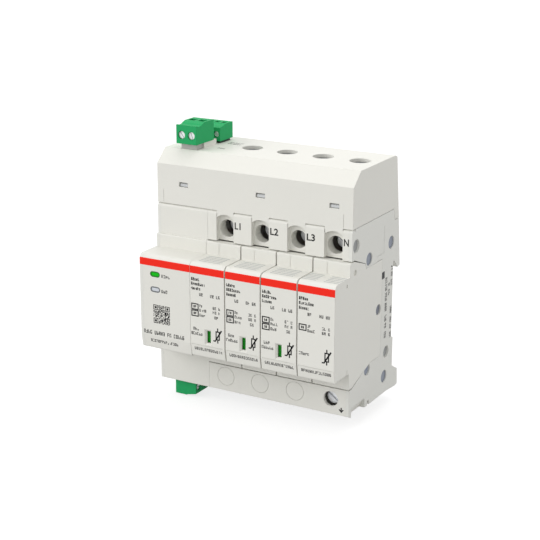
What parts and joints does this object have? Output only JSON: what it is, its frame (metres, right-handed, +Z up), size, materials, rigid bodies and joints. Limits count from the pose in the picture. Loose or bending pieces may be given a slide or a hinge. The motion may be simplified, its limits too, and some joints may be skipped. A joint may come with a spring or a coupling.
{
  "type": "surge protective device",
  "caption": "Rail-mounted pluggable surge protective device: slide-in cartridges with status windows, screw terminals under a tall sensor hood, signal lights and plug-in terminal blocks.",
  "frame": {"origin": "middle of the mounting rail's front face: half the device's width, on the rail's centre line", "axes": "+X to the device's right as seen from the front, +Y into the wall, +Z up"},
  "size_m": [0.0976, 0.066, 0.1281],
  "materials": {
    "housing": "fine matt, light warm grey",
    "side_cover": "fine matt, light grey",
    "cartridge": "fine matt, light warm grey",
    "plug_green": "satin, mid green",
    "header_grey": "matt grey",
    "rivet_steel": "dull blue-grey",
    "screw_steel": "bright zinc",
    "contact_metal": "bare copper alloy",
    "flag_plastic": "green lower half, red upper half",
    "light_guide": "clear, tinted by the lit lamp",
    "varistor_coat": "dipped coating",
    "ceramic": "glazed ceramic",
    "board": "circuit board",
    "dark_plastic": "encapsulated module",
    "clip_plastic": "dark grey"
  },
  "bodies": {
    "base": {"base_housing": "housing", "end_cover": "side_cover", "base_rivets": "rivet_steel", "line_bars": "contact_metal", "link_bar": "contact_metal", "earth_bar": "contact_metal", "unit_housing": "housing", "unit_cover": "side_cover", "light_guides": "light_guide", "main_board": "board", "power_module": "dark_plastic", "board_link": "dark_plastic", "hood_cover": "housing", "hood_tray": "housing", "hood_board": "board", "sensor_rings": "dark_plastic", "headers": "header_grey"},
    "cartridge_l1": {"cartridge_l1": "cartridge", "back_plate_l1": "cartridge", "blades_l1": "contact_metal", "varistor_l1": "varistor_coat"},
    "flag_l1": {"flag_l1": "flag_plastic"},
    "cartridge_l2": {"cartridge_l2": "cartridge", "back_plate_l2": "cartridge", "blades_l2": "contact_metal", "varistor_l2": "varistor_coat"},
    "flag_l2": {"flag_l2": "flag_plastic"},
    "cartridge_l3": {"cartridge_l3": "cartridge", "back_plate_l3": "cartridge", "blades_l3": "contact_metal", "varistor_l3": "varistor_coat"},
    "flag_l3": {"flag_l3": "flag_plastic"},
    "cartridge_n": {"cartridge_n": "cartridge", "back_plate_n": "cartridge", "blades_n": "contact_metal", "gas_tube": "ceramic"},
    "screw_l1": {"screw_l1": "screw_steel"},
    "cage_l1": {"cage_l1": "screw_steel"},
    "screw_l2": {"screw_l2": "screw_steel"},
    "cage_l2": {"cage_l2": "screw_steel"},
    "screw_l3": {"screw_l3": "screw_steel"},
    "cage_l3": {"cage_l3": "screw_steel"},
    "screw_n": {"screw_n": "screw_steel"},
    "cage_n": {"cage_n": "screw_steel"},
    "screw_earth": {"screw_earth": "screw_steel"},
    "cage_earth": {"cage_earth": "screw_steel"},
    "rail_clip": {"rail_clip": "clip_plastic"},
    "plug_front": {"plug_front": "plug_green", "clamps_front": "screw_steel"},
    "plug_screw_f1": {"plug_screw_f1": "screw_steel"},
    "plug_screw_f2": {"plug_screw_f2": "screw_steel"},
    "plug_rear": {"plug_rear": "plug_green", "clamps_rear": "screw_steel"},
    "plug_screw_r1": {"plug_screw_r1": "screw_steel"},
    "plug_screw_r2": {"plug_screw_r2": "screw_steel"},
    "plug_screw_r3": {"plug_screw_r3": "screw_steel"},
    "plug_bottom": {"plug_bottom": "plug_green", "clamps_bottom": "screw_steel"},
    "plug_screw_b1": {"plug_screw_b1": "screw_steel"},
    "plug_screw_b2": {"plug_screw_b2": "screw_steel"}
  },
  "joints": [
    {"name": "cartridge_l1_slide", "type": "slide", "parent": "base", "child": "cartridge_l1", "axis": [0, -1, 0], "range_m": [0, 0.045]},
    {"name": "flag_l1_drop", "type": "slide", "parent": "cartridge_l1", "child": "flag_l1", "axis": [0, 0, -1], "range_m": [0, 0.0056]},
    {"name": "cartridge_l2_slide", "type": "slide", "parent": "base", "child": "cartridge_l2", "axis": [0, -1, 0], "range_m": [0, 0.045]},
    {"name": "flag_l2_drop", "type": "slide", "parent": "cartridge_l2", "child": "flag_l2", "axis": [0, 0, -1], "range_m": [0, 0.0056]},
    {"name": "cartridge_l3_slide", "type": "slide", "parent": "base", "child": "cartridge_l3", "axis": [0, -1, 0], "range_m": [0, 0.045]},
    {"name": "flag_l3_drop", "type": "slide", "parent": "cartridge_l3", "child": "flag_l3", "axis": [0, 0, -1], "range_m": [0, 0.0056]},
    {"name": "cartridge_n_slide", "type": "slide", "parent": "base", "child": "cartridge_n", "axis": [0, -1, 0], "range_m": [0, 0.045]},
    {"name": "screw_l1_turn", "type": "hinge", "parent": "base", "child": "screw_l1", "pos_m": [-0.0135, -0.03, 0.0342], "axis": [0, 1, 0], "range_deg": [0, 2070]},
    {"name": "cage_l1_slide", "type": "slide", "parent": "base", "child": "cage_l1", "axis": [0, -1, 0], "range_m": [0, 0.0046]},
    {"name": "screw_l2_turn", "type": "hinge", "parent": "base", "child": "screw_l2", "pos_m": [0.0043, -0.03, 0.0342], "axis": [0, 1, 0], "range_deg": [0, 2070]},
    {"name": "cage_l2_slide", "type": "slide", "parent": "base", "child": "cage_l2", "axis": [0, -1, 0], "range_m": [0, 0.0046]},
    {"name": "screw_l3_turn", "type": "hinge", "parent": "base", "child": "screw_l3", "pos_m": [0.0221, -0.03, 0.0342], "axis": [0, 1, 0], "range_deg": [0, 2070]},
    {"name": "cage_l3_slide", "type": "slide", "parent": "base", "child": "cage_l3", "axis": [0, -1, 0], "range_m": [0, 0.0046]},
    {"name": "screw_n_turn", "type": "hinge", "parent": "base", "child": "screw_n", "pos_m": [0.0399, -0.03, 0.0342], "axis": [0, 1, 0], "range_deg": [0, 2070]},
    {"name": "cage_n_slide", "type": "slide", "parent": "base", "child": "cage_n", "axis": [0, -1, 0], "range_m": [0, 0.0046]},
    {"name": "screw_earth_turn", "type": "hinge", "parent": "base", "child": "screw_earth", "pos_m": [0.0399, -0.03, -0.035], "axis": [0, 1, 0], "range_deg": [0, 2070]},
    {"name": "cage_earth_slide", "type": "slide", "parent": "base", "child": "cage_earth", "axis": [0, -1, 0], "range_m": [0, 0.0046]},
    {"name": "rail_clip_pull", "type": "slide", "parent": "base", "child": "rail_clip", "axis": [0, 0, -1], "range_m": [0, 0.0035], "stiffness_N_per_m": 1500, "springref_m": -0.002},
    {"name": "plug_front_pull", "type": "slide", "parent": "base", "child": "plug_front", "axis": [0, 0, 1], "range_m": [0, 0.012]},
    {"name": "plug_screw_f1_turn", "type": "hinge", "parent": "plug_front", "child": "plug_screw_f1", "pos_m": [-0.03919, -0.0347, 0.07281], "axis": [0, 1, 0], "range_deg": [0, 1080]},
    {"name": "plug_screw_f2_turn", "type": "hinge", "parent": "plug_front", "child": "plug_screw_f2", "pos_m": [-0.03411, -0.0347, 0.07281], "axis": [0, 1, 0], "range_deg": [0, 1080]},
    {"name": "plug_rear_pull", "type": "slide", "parent": "base", "child": "plug_rear", "axis": [0, 0, 1], "range_m": [0, 0.012]},
    {"name": "plug_screw_r1_turn", "type": "hinge", "parent": "plug_rear", "child": "plug_screw_r1", "pos_m": [-0.04015, -0.0153, 0.07041], "axis": [0, 1, 0], "range_deg": [0, 1080]},
    {"name": "plug_screw_r2_turn", "type": "hinge", "parent": "plug_rear", "child": "plug_screw_r2", "pos_m": [-0.03665, -0.0153, 0.07041], "axis": [0, 1, 0], "range_deg": [0, 1080]},
    {"name": "plug_screw_r3_turn", "type": "hinge", "parent": "plug_rear", "child": "plug_screw_r3", "pos_m": [-0.03315, -0.0153, 0.07041], "axis": [0, 1, 0], "range_deg": [0, 1080]},
    {"name": "plug_bottom_pull", "type": "slide", "parent": "base", "child": "plug_bottom", "axis": [0, 0, -1], "range_m": [0, 0.012]},
    {"name": "plug_screw_b1_turn", "type": "hinge", "parent": "plug_bottom", "child": "plug_screw_b1", "pos_m": [-0.0338, -0.03181, -0.04561], "axis": [-1, 0, 0], "range_deg": [0, 1080]},
    {"name": "plug_screw_b2_turn", "type": "hinge", "parent": "plug_bottom", "child": "plug_screw_b2", "pos_m": [-0.0338, -0.03689, -0.04561], "axis": [-1, 0, 0], "range_deg": [0, 1080]}
  ],
  "couplings": [
    {"joint": "screw_l1_turn", "follows": "cage_l1_slide", "rad_per_m": 7853.9},
    {"joint": "screw_l2_turn", "follows": "cage_l2_slide", "rad_per_m": 7853.9},
    {"joint": "screw_l3_turn", "follows": "cage_l3_slide", "rad_per_m": 7853.9},
    {"joint": "screw_n_turn", "follows": "cage_n_slide", "rad_per_m": 7853.9},
    {"joint": "screw_earth_turn", "follows": "cage_earth_slide", "rad_per_m": 7853.9}
  ]
}
